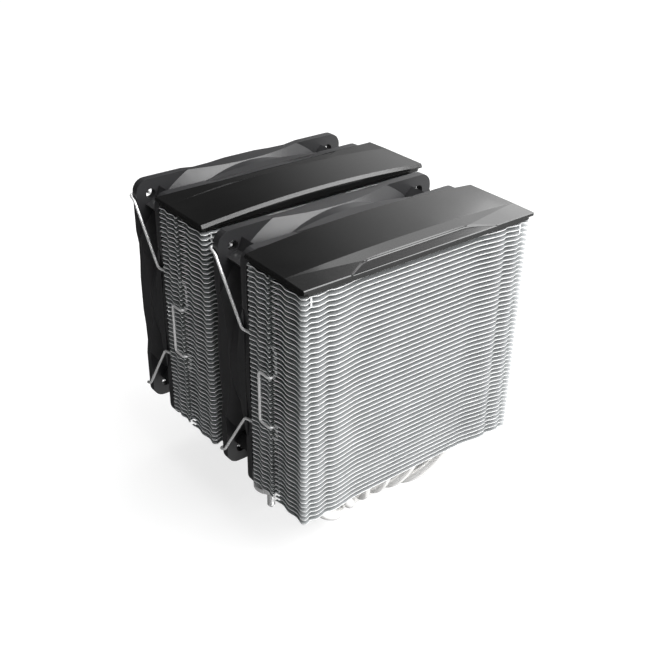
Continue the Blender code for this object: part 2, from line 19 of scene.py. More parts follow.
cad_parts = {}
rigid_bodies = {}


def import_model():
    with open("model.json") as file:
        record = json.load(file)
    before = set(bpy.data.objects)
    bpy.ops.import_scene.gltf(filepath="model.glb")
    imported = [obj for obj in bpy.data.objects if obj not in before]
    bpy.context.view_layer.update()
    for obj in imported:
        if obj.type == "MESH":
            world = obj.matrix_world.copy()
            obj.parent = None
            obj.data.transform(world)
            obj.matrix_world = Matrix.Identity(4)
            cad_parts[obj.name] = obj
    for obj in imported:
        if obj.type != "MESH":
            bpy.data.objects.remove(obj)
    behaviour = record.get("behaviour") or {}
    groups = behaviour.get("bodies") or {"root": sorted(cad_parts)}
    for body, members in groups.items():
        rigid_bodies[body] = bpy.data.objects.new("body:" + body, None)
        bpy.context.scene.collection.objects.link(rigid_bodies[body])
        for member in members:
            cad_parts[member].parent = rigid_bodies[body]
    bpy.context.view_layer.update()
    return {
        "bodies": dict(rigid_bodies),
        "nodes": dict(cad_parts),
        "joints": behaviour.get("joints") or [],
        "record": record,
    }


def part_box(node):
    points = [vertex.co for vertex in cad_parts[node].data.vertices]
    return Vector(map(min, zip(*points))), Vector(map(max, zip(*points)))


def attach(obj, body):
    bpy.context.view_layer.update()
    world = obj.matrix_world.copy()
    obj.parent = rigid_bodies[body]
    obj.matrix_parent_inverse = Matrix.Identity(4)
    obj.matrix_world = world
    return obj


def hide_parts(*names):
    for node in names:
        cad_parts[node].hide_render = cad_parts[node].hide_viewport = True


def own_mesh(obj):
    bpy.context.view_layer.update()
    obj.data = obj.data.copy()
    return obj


LOG = logging.getLogger("cooler")
MM = 0.001
FRAME: dict = {}

Point = Sequence[float]
Socket = bpy.types.NodeSocket


class Paint:
    """One material and the nodes that make it."""

    def __init__(self, name: str) -> None:
        self.material = bpy.data.materials.new(name)
        self.material.use_nodes = True
        self.tree = self.material.node_tree
        self.shader = self.tree.nodes["Principled BSDF"]
        place = self.tree.nodes.new("ShaderNodeTexCoord")
        self.place = place.outputs["Object"]
        self.facing = place.outputs["Normal"]

    def node(self, kind: str, settings: dict[str, object] | None = None,
             inputs: dict[object, object] | None = None, output: object = 0) -> Socket:
        """Add a node and return one of its outputs.

        Args:
            kind: The node's type name.
            settings: Attributes to set first.
            inputs: Values or sockets to link, by socket name or number.
            output: The output to return, by name or number.

        Returns:
            The chosen output.
        """
        made = self.tree.nodes.new(kind)
        for key, value in (settings or {}).items():
            setattr(made, key, value)
        for key, value in (inputs or {}).items():
            self.feed(made.inputs[key], value)
        return made.outputs[output]

    def feed(self, socket: Socket, value: object) -> None:
        """Link a socket to another one, or set its value."""
        if isinstance(value, Socket):
            self.tree.links.new(value, socket)
        else:
            socket.default_value = value

    def set(self, **values: object) -> None:
        """Feed sockets of the Principled shader; an underscore in a name stands for a space."""
        for name, value in values.items():
            self.feed(self.shader.inputs[name.replace("_", " ")], value)

    def noise(self, scale: float, detail: float = 3.0, stretch: Point = (1.0, 1.0, 1.0)) -> Socket:
        """Noise on object coordinates, with its size in metres set by scale."""
        spot = self.node("ShaderNodeMapping", None, {"Vector": self.place, "Scale": tuple(stretch)})
        return self.node("ShaderNodeTexNoise", None,
                         {"Vector": spot, "Scale": scale, "Detail": detail}, "Fac")

    def math(self, operation: str, *values: object) -> Socket:
        """Add one Math node."""
        return self.node("ShaderNodeMath", {"operation": operation}, dict(enumerate(values)))

    def ramp(self, value: Socket, low: float = 0.0, high: float = 1.0) -> Socket:
        """Stretch the middle of a noise to the range from low to high."""
        return self.node("ShaderNodeMapRange", None,
                         {"Value": value, "From Min": 0.3, "From Max": 0.7,
                          "To Min": low, "To Max": high})

    def mix(self, factor: Socket, first: object, second: object) -> Socket:
        """Mix two colours."""
        made = self.tree.nodes.new("ShaderNodeMix")
        made.data_type = "RGBA"
        self.feed(made.inputs["Factor"], factor)
        self.feed(made.inputs[6], first)
        self.feed(made.inputs[7], second)
        return made.outputs[2]

    def bump(self, height: Socket, distance: float) -> None:
        """Feed a bump to the shader's normal."""
        normal = self.node("ShaderNodeBump", None,
                           {"Height": height, "Distance": distance, "Strength": 1.0}, "Normal")
        self.set(Normal=normal)


def mm(*values: float) -> tuple[float, ...]:
    """Millimetres as metres."""
    return tuple(value * MM for value in values)


def grey(level: float, tint: Point = (1.0, 1.0, 1.0)) -> tuple[float, float, float, float]:
    """A grey with a slight tint, as linear RGBA."""
    return (level * tint[0], level * tint[1], level * tint[2], 1.0)


# ------------------------------------------------------------------ finishes

class Slot(Enum):
    """The record's material slots."""

    NICKEL = "nickel"
    ALUMINIUM = "aluminium"
    COVER = "cover_black"
    FAN = "fan_black"
    STEEL = "steel"
    RUBBER = "rubber"
    COPPER = "copper"
    BRONZE = "bronze"
    MAGNET = "magnet"
    CIRCUIT = "circuit"


@dataclass(frozen=True)
class Metal:
    """A bare or plated metal with rolling lines and small blotches."""

    dark: tuple[float, float, float, float]
    light: tuple[float, float, float, float]
    smooth: float = 0.2
    rough: float = 0.35
    grain: Point = (1.0, 1.0, 1.0)
    grain_scale: float = 900.0
    relief: float = 0.00001
    metallic: float = 1.0
    # Grey of the painted highlight on faces that stand upright; 0 leaves none.
    upright_highlight: float = 0.0

    def make(self, name: str) -> bpy.types.Material:
        """Build the material; faces that stand upright get a painted highlight, a lighter grey than the flat
        faces.
        """
        paint = Paint(name)
        blotch = paint.noise(60.0, 4.0)
        lines = paint.noise(self.grain_scale, 2.0, self.grain)
        wear = paint.math("ADD", paint.math("MULTIPLY", lines, 0.7), paint.math("MULTIPLY", blotch, 0.3))
        colour = paint.mix(paint.ramp(blotch), self.dark, self.light)
        # Painted highlight: faces that stand upright, such as the fins' edges, are mixed towards a light
        # grey by how upright they stand.
        if self.upright_highlight:
            rise = paint.node("ShaderNodeSeparateXYZ", None, {"Vector": paint.facing}, "Z")
            colour = paint.mix(paint.math("ABSOLUTE", rise), grey(self.upright_highlight), colour)
        paint.set(Base_Color=colour,
                  Metallic=self.metallic,
                  Roughness=paint.ramp(wear, self.smooth, self.rough))
        paint.bump(lines, self.relief)
        return paint.material


@dataclass(frozen=True)
class Moulding:
    """A moulded plastic or rubber with a fine grain."""

    colour: tuple[float, float, float, float]
    smooth: float
    rough: float
    grain_scale: float
    relief: float
    coat: float = 0.0

    def make(self, name: str) -> bpy.types.Material:
        """Build the material."""
        paint = Paint(name)
        pits = paint.node("ShaderNodeTexVoronoi", {"feature": "SMOOTH_F1"},
                          {"Vector": paint.place, "Scale": self.grain_scale}, "Distance")
        cloud = paint.noise(35.0, 3.0)
        lighter = tuple(min(1.0, c * 1.25) for c in self.colour[:3]) + (1.0,)
        paint.set(Base_Color=paint.mix(paint.ramp(cloud), self.colour, lighter),
                  Roughness=paint.ramp(cloud, self.smooth, self.rough))
        if self.coat:
            paint.set(Coat_Weight=self.coat, Coat_Roughness=0.08)
        paint.bump(pits, self.relief)
        return paint.material


FINISHES: dict[Slot, Metal | Moulding] = {
    Slot.NICKEL: Metal(grey(0.78, (1.0, 0.99, 0.97)), grey(0.88, (1.0, 0.995, 0.98)),
                       0.16, 0.28, (1.0, 1.0, 0.05), metallic=0.5),
    # Aluminium: darker flat faces with a painted highlight on upright faces such as the fins' edges.
    Slot.ALUMINIUM: Metal(grey(0.36, (0.95, 0.99, 1.0)), grey(0.44, (0.96, 0.99, 1.0)),
                          0.38, 0.52, (0.06, 1.0, 1.0), 700.0, metallic=0.3, upright_highlight=0.88),
    Slot.STEEL: Metal(grey(0.66), grey(0.80), 0.2, 0.3, (1.0, 1.0, 0.1), 1500.0, 0.000004,
                      metallic=0.45),
    Slot.COPPER: Metal((0.55, 0.22, 0.10, 1.0), (0.75, 0.36, 0.20, 1.0), 0.25, 0.4,
                       (0.1, 1.0, 0.1), 2500.0, 0.00006),
    Slot.BRONZE: Metal((0.42, 0.27, 0.12, 1.0), (0.58, 0.40, 0.20, 1.0), 0.35, 0.5),
    Slot.COVER: Moulding(grey(0.005), 0.15, 0.20, 9000.0, 0.000002, 0.15),
    Slot.FAN: Moulding(grey(0.020, (1.0, 1.0, 1.05)), 0.32, 0.40, 5200.0, 0.000006),
    Slot.RUBBER: Moulding(grey(0.012), 0.65, 0.85, 3500.0, 0.00002),
    Slot.MAGNET: Moulding(grey(0.06, (1.0, 0.93, 0.9)), 0.5, 0.7, 2600.0, 0.00003),
    Slot.CIRCUIT: Moulding((0.012, 0.09, 0.035, 1.0), 0.3, 0.45, 900.0, 0.00003, 0.4),
}


class Shelf:
    """The finishes of this object, each made once."""

    def __init__(self) -> None:
        self._made: dict[Slot, bpy.types.Material] = {}

    def get(self, slot: Slot) -> bpy.types.Material:
        """The material of a slot."""
        if slot not in self._made:
            self._made[slot] = FINISHES[slot].make(f"{slot.value}_finish")
        return self._made[slot]

    def dress(self, piece: bpy.types.Object, slot: Slot) -> None:
        """Give a piece the finish of a slot."""
        piece.data.materials.clear()
        piece.data.materials.append(self.get(slot))

    def dress_node(self, name: str, slot: Slot) -> None:
        """Give a CAD node that stays in view its finish."""
        self.dress(FRAME["nodes"][name], slot)
        LOG.info("%s keeps its shape and gets %s", name, slot.value)


# ------------------------------------------------------------------ modelling bench

def clear_selection() -> None:
    """Leave edit mode and deselect every object."""
    if bpy.context.object and bpy.context.object.mode != "OBJECT":
        bpy.ops.object.mode_set(mode="OBJECT")
    bpy.ops.object.select_all(action="DESELECT")


def arc(centre: Point, radius: float, start: float, end: float, steps: int) -> list[tuple[float, float]]:
    """Points of a flat arc.

    Args:
        centre: The arc's centre.
        radius: Its radius.
        start: The first angle in degrees.
        end: The last angle in degrees.
        steps: The number of chords.

    Returns:
        steps + 1 points.
    """
    turns = [math.radians(start + (end - start) * i / steps) for i in range(steps + 1)]
    return [(centre[0] + radius * math.cos(t), centre[1] + radius * math.sin(t)) for t in turns]


def ring(centre: Point, radius: float, steps: int) -> list[tuple[float, float]]:
    """Points of a circle."""
    return arc(centre, radius, 0.0, 360.0, steps)[:-1]


class Piece:
    """An object under work, shaped by Blender's own operators. Sizes are in metres."""

    def __init__(self, name: str) -> None:
        """Take the object that an operator has just made, and name it."""
        self.obj = bpy.context.object
        self.obj.name = name
        self.obj.data.name = name
        self.settle()

    # -- starts

    @classmethod
    def box(cls, name: str, low: Point, high: Point) -> "Piece":
        """Start from a cube between two corners."""
        clear_selection()
        middle = [(a + b) / 2 for a, b in zip(low, high)]
        size = [abs(b - a) for a, b in zip(low, high)]
        bpy.ops.mesh.primitive_cube_add(size=1.0, location=middle, scale=size)
        return cls(name)

    @classmethod
    def turned(cls, name: str, base: Point, axis: Point, stations: Sequence[tuple[float, float]],
               sides: int = 32) -> "Piece":
        """Turn a closed solid from a cone, by extruding and resizing its end.

        Args:
            name: The piece's name.
            base: The point on the axis that distances count from.
            axis: The direction of the axis.
            stations: (distance along the axis, radius) pairs, in order.
            sides: The number of flat sides.

        Returns:
            The solid.
        """
        clear_selection()
        along = Vector(axis).normalized()
        origin = Vector(base)
        (start, first), (stop, second) = stations[:2]
        bpy.ops.mesh.primitive_cone_add(
            vertices=sides, radius1=first, radius2=second, depth=stop - start,
            location=origin + along * (start + stop) / 2,
            rotation=along.to_track_quat("Z", "Y").to_euler())
        made = cls(name)
        made.pick(lambda spot, normal: normal.dot(along) > 0.99 and (spot - origin).dot(along) > start)
        for (before, old), (here, new) in zip(stations[1:], stations[2:]):
            made.extrude(along * (here - before))
            made.resize(new / old, origin + along * here)
        made.settle()
        return made

    @classmethod
    def plate(cls, name: str, loops: Sequence[Sequence[Point]], low: float, high: float) -> "Piece":
        """Cut a flat plate from closed loops on XY; the loops after the first are its holes."""
        clear_selection()
        curve = bpy.data.curves.new(name, "CURVE")
        curve.dimensions = "2D"
        curve.fill_mode = "BOTH"
        curve.extrude = (high - low) / 2
        for loop in loops:
            spline = curve.splines.new("POLY")
            spline.points.add(len(loop) - 1)
            for knot, (x, y) in zip(spline.points, loop):
                knot.co = (x, y, 0.0, 1.0)
            spline.use_cyclic_u = True
        return cls._from_curve(name, curve, (0.0, 0.0, (low + high) / 2))

    @classmethod
    def wire(cls, name: str, points: Sequence[Point], radius: float, corner: float = 0.0,
             sides: int = 3) -> "Piece":
        """Bend a round wire through points, with each corner rounded.

        Args:
            name: The piece's name.
            points: The corners of the wire's centre line.
            radius: The wire's radius.
            corner: The radius that rounds each corner, or 0 for none.
            sides: The curve's bevel resolution.

        Returns:
            The wire as a closed mesh.
        """
        clear_selection()
        curve = bpy.data.curves.new(name, "CURVE")
        curve.dimensions = "3D"
        curve.bevel_depth = radius
        curve.bevel_resolution = sides
        curve.use_fill_caps = True
        line = round_corners([Vector(p) for p in points], corner) if corner else points
        spline = curve.splines.new("POLY")
        spline.points.add(len(line) - 1)
        for knot, spot in zip(spline.points, line):
            knot.co = (*spot, 1.0)
        made = cls._from_curve(name, curve, (0.0, 0.0, 0.0))
        made.smooth(50)
        return made

    @classmethod
    def _from_curve(cls, name: str, curve: bpy.types.Curve, spot: Point) -> "Piece":
        """Make a curve a mesh with merged seams."""
        drawn = bpy.data.objects.new(name, curve)
        bpy.context.scene.collection.objects.link(drawn)
        drawn.location = spot
        drawn.select_set(True)
        bpy.context.view_layer.objects.active = drawn
        bpy.ops.object.convert(target="MESH")
        made = cls(name)
        made.weld()
        return made

    # -- edits

    def _alone(self) -> None:
        """Make this the only selected object, in object mode."""
        clear_selection()
        self.obj.select_set(True)
        bpy.context.view_layer.objects.active = self.obj

    def _enter(self) -> None:
        """Make this the only selected object, in edit mode."""
        if self.obj.mode != "EDIT":
            self._alone()
            bpy.ops.object.mode_set(mode="EDIT")

    def settle(self) -> "Piece":
        """Leave edit mode and put the object's place into its mesh."""
        self._alone()
        bpy.ops.object.transform_apply(location=True, rotation=True, scale=True)
        return self

    def pick(self, test: Callable[[Vector, Vector], bool], kind: str = "faces") -> "Piece":
        """Select the faces, or the edges, whose place and direction pass a test."""
        self._enter()
        bpy.context.tool_settings.mesh_select_mode = (False, kind == "edges", kind == "faces")
        mesh = bmesh.from_edit_mesh(self.obj.data)
        for part in (*mesh.faces, *mesh.edges, *mesh.verts):
            part.select_set(False)
        for part in getattr(mesh, kind):
            if kind == "edges":
                spot = (part.verts[0].co + part.verts[1].co) / 2
                normal = (part.verts[1].co - part.verts[0].co).normalized()
            else:
                spot, normal = part.calc_center_median(), part.normal
            if test(spot, normal):
                part.select_set(True)
        mesh.select_flush_mode()
        bmesh.update_edit_mesh(self.obj.data)
        return self

    def pick_all(self) -> "Piece":
        """Select everything."""
        self._enter()
        bpy.ops.mesh.select_all(action="SELECT")
        return self

    def extrude(self, offset: Point) -> "Piece":
        """Extrude the selected faces by an offset."""
        bpy.ops.mesh.extrude_region_move(TRANSFORM_OT_translate={"value": tuple(offset)})
        return self

    def move(self, offset: Point) -> "Piece":
        """Move what is selected."""
        bpy.ops.transform.translate(value=tuple(offset))
        return self

    def resize(self, factor: float | Point, centre: Point) -> "Piece":
        """Scale what is selected about a centre."""
        factors = tuple(factor) if hasattr(factor, "__len__") else (factor, factor, factor)
        bpy.ops.transform.resize(value=factors, center_override=tuple(centre))
        return self

    def inset(self, width: float, depth: float = 0.0) -> "Piece":
        """Inset the selected faces."""
        bpy.ops.mesh.inset(thickness=width, depth=depth)
        return self

    def chamfer(self, width: float, segments: int = 1) -> "Piece":
        """Bevel the selected edges."""
        bpy.ops.mesh.bevel(offset=width, segments=segments, affect="EDGES")
        return self

    def slice(self, spot: Point, normal: Point) -> "Piece":
        """Cut new edges where a plane crosses the mesh."""
        self.pick_all()
        bpy.ops.mesh.bisect(plane_co=tuple(spot), plane_no=tuple(normal))
        return self

    def weld(self, reach: float = 1e-6) -> "Piece":
        """Merge doubled points and turn the faces outwards."""
        self.pick_all()
        bpy.ops.mesh.remove_doubles(threshold=reach)
        bpy.ops.mesh.select_all(action="SELECT")
        bpy.ops.mesh.normals_make_consistent(inside=False)
        return self.settle()

    def sculpt(self, shape: Callable[[Vector], Vector]) -> "Piece":
        """Move every point to the place that a function gives it."""
        self._enter()
        mesh = bmesh.from_edit_mesh(self.obj.data)
        for point in mesh.verts:
            point.co = shape(point.co.copy())
        mesh.normal_update()
        bmesh.update_edit_mesh(self.obj.data)
        return self.settle()

    # -- whole-object work

    def modify(self, kind: str, **settings: object) -> "Piece":
        """Add a modifier and apply it."""
        self.settle()
        added = self.obj.modifiers.new(kind.title(), kind)
        for key, value in settings.items():
            setattr(added, key, value)
        bpy.ops.object.modifier_apply(modifier=added.name)
        return self

    def soften(self, width: float, segments: int = 2, angle: float = 35.0,
               clamp: bool = True) -> "Piece":
        """Round every sharp edge a little; with clamp, no more than the shortest edge allows."""
        return self.modify("BEVEL", width=width, segments=segments, limit_method="ANGLE",
                           angle_limit=math.radians(angle), use_clamp_overlap=clamp)

    def combine(self, *tools: "Piece", operation: str = "DIFFERENCE") -> "Piece":
        """Cut or join with other pieces, which are used up."""
        for tool in tools:
            self.modify("BOOLEAN", object=tool.obj, operation=operation, solver="EXACT")
            bpy.data.objects.remove(tool.obj, do_unlink=True)
        return self

    def join(self, *others: "Piece") -> "Piece":
        """Take other pieces into this object as separate shells."""
        clear_selection()
        for piece in (*others, self):
            piece.obj.select_set(True)
        bpy.context.view_layer.objects.active = self.obj
        bpy.ops.object.join()
        return self

    def copy(self, name: str, change: Matrix) -> "Piece":
        """A copy with its own mesh, moved or turned by a matrix."""
        self._alone()
        bpy.ops.object.duplicate(linked=False)
        made = Piece(name)
        made.obj.data.transform(change)
        return made

    def smooth(self, angle: float = 35.0) -> "Piece":
        """Shade smooth, with edges over an angle kept sharp."""
        self.settle()
        bpy.ops.object.shade_smooth_by_angle(angle=math.radians(angle))
        return self

    def finish(self, shelf: Shelf, slot: Slot, body: str, *nodes: str) -> "Piece":
        """Dress the piece and put it on its body.

        Args:
            shelf: The finishes to choose from.
            slot: The record's slot of the finish.
            body: The CAD body that the piece rides on.
            nodes: The CAD nodes that the piece stands for.

        Returns:
            The piece.
        """
        self.settle()
        shelf.dress(self.obj, slot)
        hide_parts(*nodes)
        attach(self.obj, body)
        LOG.info("%s on %s: %d faces", self.obj.name, body, len(self.obj.data.polygons))
        return self


def round_corners(points: list[Vector], radius: float, steps: int = 5) -> list[Vector]:
    """Replace each inner corner of a line by a short smooth bend."""
    line = [points[0]]
    for before, here, after in zip(points, points[1:], points[2:]):
        reach = min(radius, (before - here).length * 0.48, (after - here).length * 0.48)
        start = here + (before - here).normalized() * reach
        end = here + (after - here).normalized() * reach
        for i in range(steps + 1):
            t = i / steps
            line.append(start * (1 - t) ** 2 + here * (2 * t * (1 - t)) + end * t * t)
    line.append(points[-1])
    return line


# ------------------------------------------------------------------ sub-assemblies

class Tower(Enum):
    """The two fin towers: the way each one's outer side faces along Y."""

    FRONT = -1
    REAR = 1


class Side(Enum):
    """Left and right along X."""

    LEFT = -1
    RIGHT = 1


@dataclass
class FinStack:
    """Forty-nine thin fins with scalloped edges and a notch for the clips. Sizes are in millimetres."""

    tower: Tower
    shelf: Shelf
    count: int = 49
    thickness: float = 0.4
    centre_y: float = 35.5
    half_depth: float = 20.0
    half_width: float = 61.9
    groove_shift: float = 2.5
    groove_half: float = 1.3
    groove_wide: float = 2.6
    groove_depth: float = 5.0
    pipe_hole: float = 3.12
    corner_cut: float = 1.8
    ripple: float = 0.42
    ripple_steps: int = 16
    lip: float = 1.0
    tab_x: float = 57.0
    tab_y: float = 17.9
    tab_depth: float = 5.0
    scallop: tuple[tuple[float, float], ...] = (
        (0.0, 2.5), (31.0, 2.5), (34.5, 2.2), (38.0, 1.6), (41.0, 1.1), (44.0, 0.8), (46.5, 0.9),
        (48.2, 1.7), (49.6, 1.6), (51.2, 1.1), (53.0, 0.7), (54.6, 0.5), (56.2, 1.0),
        (57.4, 1.5), (58.6, 1.2), (59.6, 0.7), (60.6, 0.5))

    def _edge(self) -> list[tuple[float, float]]:
        """The long edge from left to right, as (x, distance from the fin's middle line)."""
        right = [(x, self.half_depth - dip) for x, dip in self.scallop]
        return [(-x, y) for x, y in reversed(right[1:])] + right

    def _side(self, sign: int) -> list[tuple[float, float]]:
        """The right edge from -y to +y: shallow waves with the clip groove cut in."""
        groove = self.groove_shift
        reach = self.half_depth - self.corner_cut
        points: list[tuple[float, float]] = []
        cuts = [groove - self.groove_half, groove + self.groove_half]
        for low, high in ((-reach, cuts[0]), (cuts[1], reach)):
            for i in range(self.ripple_steps + 1):
                share = i / self.ripple_steps
                y = low + (high - low) * share
                wave = self.ripple * (1 - math.cos(4 * math.pi * share))
                points.append((self.half_width - wave, y))
            if high == cuts[0]:
                lip, floor = self.half_width - self.lip, self.half_width - self.groove_depth
                wide = (groove - self.groove_wide, groove + self.groove_wide)
                points += [(lip, cuts[0]), (lip, wide[0]), (floor, wide[0]),
                           (floor, wide[1]), (lip, wide[1]), (lip, cuts[1])]
        return [(sign * x, y) for x, y in points]

    def _outline(self, middle: float) -> list[tuple[float, float]]:
        """The fin's whole outline, counter-clockwise, about its middle line."""
        edge = self._edge()
        lower = [(x, -y) for x, y in edge]
        right = self._side(1)
        upper = [(x, y) for x, y in reversed(edge)]
        left = list(reversed(self._side(-1)))
        return [mm(x, middle + y) for x, y in lower + right + upper + left]

    def build(self, pipes: Sequence[tuple[float, float]]) -> Piece:
        """Cut one fin, give it collars for the pipes, and stack it.

        Args:
            pipes: (x, distance from the middle plane) of each pipe, in millimetres.

        Returns:
            The stack.
        """
        name = f"fin_stack_{self.tower.name.lower()}"
        low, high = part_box(name)
        middle = self.tower.value * self.centre_y
        holes = [ring(mm(x, self.tower.value * y), self.pipe_hole * MM, 14) for x, y in pipes]
        fin = Piece.plate(f"fins_{self.tower.name.lower()}", [self._outline(middle), *holes],
                          low[2], low[2] + self.thickness * MM)
        collars = [self._collar(x, self.tower.value * y, low[2]) for x, y in pipes]
        fin.join(*collars)
        pitch = (high[2] - low[2] - self.thickness * MM) / (self.count - 1)
        fin.modify("ARRAY", count=self.count, use_relative_offset=False, use_constant_offset=True,
                   constant_offset_displace=(0.0, 0.0, pitch))
        fin.join(*self._tabs(middle, high[2]))
        return fin.finish(self.shelf, Slot.ALUMINIUM, "cooler", name)

    def _tabs(self, middle: float, top: float) -> list[Piece]:
        """The folded tabs that lock the top fins together near each corner."""
        half = Vector((0.35 * MM, 0.2 * MM, self.tab_depth * MM / 2))
        spots = [Vector((side.value * self.tab_x * MM, (middle + end * self.tab_y) * MM, top - half.z))
                 for side in Side for end in (-1, 1)]
        return [Piece.box("tab", spot - half, spot + half) for spot in spots]

    def _collar(self, x: float, y: float, low: float) -> Piece:
        """A short collar round a pipe hole, standing on the fin."""
        base = (x * MM, y * MM, low + self.thickness * 0.5 * MM)
        collar = Piece.turned("collar", base, (0, 0, 1), [mm(0.0, 3.45), mm(1.3, 3.3)], 14)
        collar.pick(lambda spot, normal: abs(normal.z) > 0.9)
        bpy.ops.mesh.inset(thickness=0.25 * MM, use_individual=True)
        collar.pick(lambda spot, normal: abs(normal.z) > 0.9
                    and (spot.xy - Vector(base).xy).length < 0.05 * MM)
        bpy.ops.mesh.bridge_edge_loops()
        return collar.settle()


@dataclass
class TopCover:
    """A moulded cover with an arched top, a sloped lens-shaped facet and a shallow finger ledge."""

    tower: Tower
    shelf: Shelf
    half_width: float = 62.5
    inner: float = 16.0
    outer: float = 56.0
    arch: float = 3.0
    facet_arch: float = 2.5
    bottom: float = 152.9
    top: float = 155.0
    ledge_near: float = 40.0
    ledge_far: float = 28.5
    chamfer_run: float = 0.9
    chamfer_drop: float = 1.5
    crease: float = 43.5
    crease_bow: float = 1.4
    slices: tuple[float, ...] = (17.0, 30.0, 44.0, 49.0)
    columns: int = 42

    def _share(self, x: float) -> float:
        """How far up its arch the cover stands at x: 1 in the middle and 0 at the ends."""
        return max(0.0, 1.0 - (x / (self.half_width - 0.5)) ** 2)

    def _facet_edge(self, x: float) -> float:
        """Distance of the facet's outer crease from the middle plane between the towers."""
        run = max(0.0, min(1.0, (abs(x) - self.ledge_far) / (61.5 - self.ledge_far)))
        return 49.7 - 5.9 * run

    def _shape(self, spot: Vector) -> Vector:
        """Move a point of the sliced block to its place on the finished cover."""
        x, along, z = spot.x / MM, abs(spot.y) / MM, spot.z / MM
        if z > self.top - 0.2:
            share = self._share(x)
            rise = self.arch * share
            if along < self.inner + 0.1:
                z = self.top + rise - self.chamfer_drop
            elif along < self.inner + 2.0:
                along, z = self.inner + self.chamfer_run, self.top + rise
            elif along < 38.0:
                z = self.top + rise - 0.4 * share * (along - self.inner) / 28.0
            elif along < 44.5:
                along, z = self.crease + self.crease_bow * share, self.top + self.facet_arch * share
            elif along < 51.0:
                along, z = self._facet_edge(x), self.top + 0.35 * min(1.0, share * 3)
            else:
                z = self.top - 0.25
        return Vector((x, math.copysign(along, self.tower.value), z)) * MM

    def build(self) -> Piece:
        """Slice a block into strips, bend it to shape, and cut the ledge."""
        name = self.tower.name.lower()
        sign = self.tower.value
        near, far = sorted(mm(sign * self.inner, sign * self.outer))
        cover = Piece.box(f"cover_shell_{name}", (-self.half_width * MM, near, self.bottom * MM),
                          (self.half_width * MM, far, self.top * MM))
        for along in self.slices:
            cover.slice(mm(0, sign * along, 0), (0, 1, 0))
        for i in range(1, self.columns):
            cover.slice(mm((-1 + 2 * i / self.columns) * self.half_width, 0, 0), (1, 0, 0))
        cover.settle()
        cover.sculpt(self._shape)
        cover.combine(self._ledge_tool())
        cover.soften(0.34 * MM, 1, 64.0, clamp=False).smooth(4.0)
        return cover.finish(self.shelf, Slot.COVER, "cooler", f"cover_{name}")

    def _ledge_tool(self) -> Piece:
        """The block that cuts the finger ledge, with rounded inner corners."""
        sign = self.tower.value
        corners = [(-self.ledge_near - 3.0, 59.0), (-self.ledge_near, 56.1), (-self.ledge_far, 49.4),
                   (self.ledge_far, 49.4), (self.ledge_near, 56.1), (self.ledge_near + 3.0, 59.0)]
        line = round_corners([Vector((x, y, 0)) for x, y in corners], 4.0, 4)
        loop = [mm(p.x, sign * p.y) for p in line]
        return Piece.plate("ledge_tool", [loop], (self.top - 0.5) * MM, (self.top + 6) * MM)

    def dress_tray(self) -> None:
        """Give the CAD tray under the cover the cover's finish."""
        self.shelf.dress_node(f"cover_tray_{self.tower.name.lower()}", Slot.COVER)


